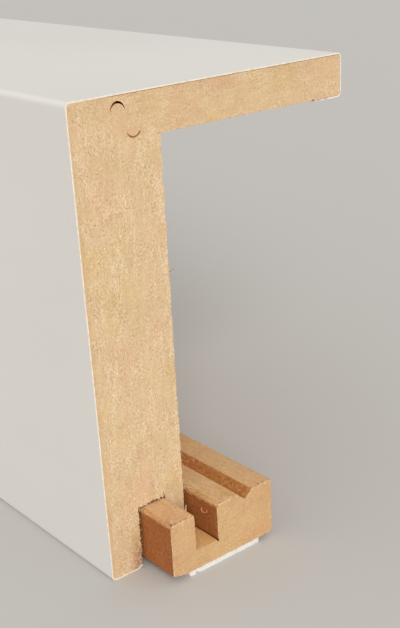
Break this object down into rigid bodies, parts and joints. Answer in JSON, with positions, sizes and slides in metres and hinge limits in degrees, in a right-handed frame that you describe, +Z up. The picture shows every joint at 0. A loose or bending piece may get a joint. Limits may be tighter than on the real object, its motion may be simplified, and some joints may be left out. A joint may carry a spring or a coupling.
{
  "type": "pipe cover trim",
  "caption": "Angle-shaped white-wrapped MDF moulding that hooks over a grooved floor rail and hides pipes along a wall.",
  "frame": {"origin": "on the floor, under the middle of the part's box", "axes": "+X from the front face towards the wall, +Y along the trim away from the end where the rail sticks out, +Z up"},
  "size_m": [0.062, 1.2092, 0.09],
  "materials": {
    "mdf_board": "raw fine-fibred MDF, sawn at the ends",
    "mdf_rail": "raw fine-fibred MDF, milled",
    "white_foil": "satin",
    "foam_tape": "matt"
  },
  "bodies": {
    "root": {"front_board": "mdf_board", "top_board": "mdf_board", "foil_wrap": "white_foil", "mounting_rail": "mdf_rail", "mounting_tape": "foam_tape"}
  },
  "joints": []
}
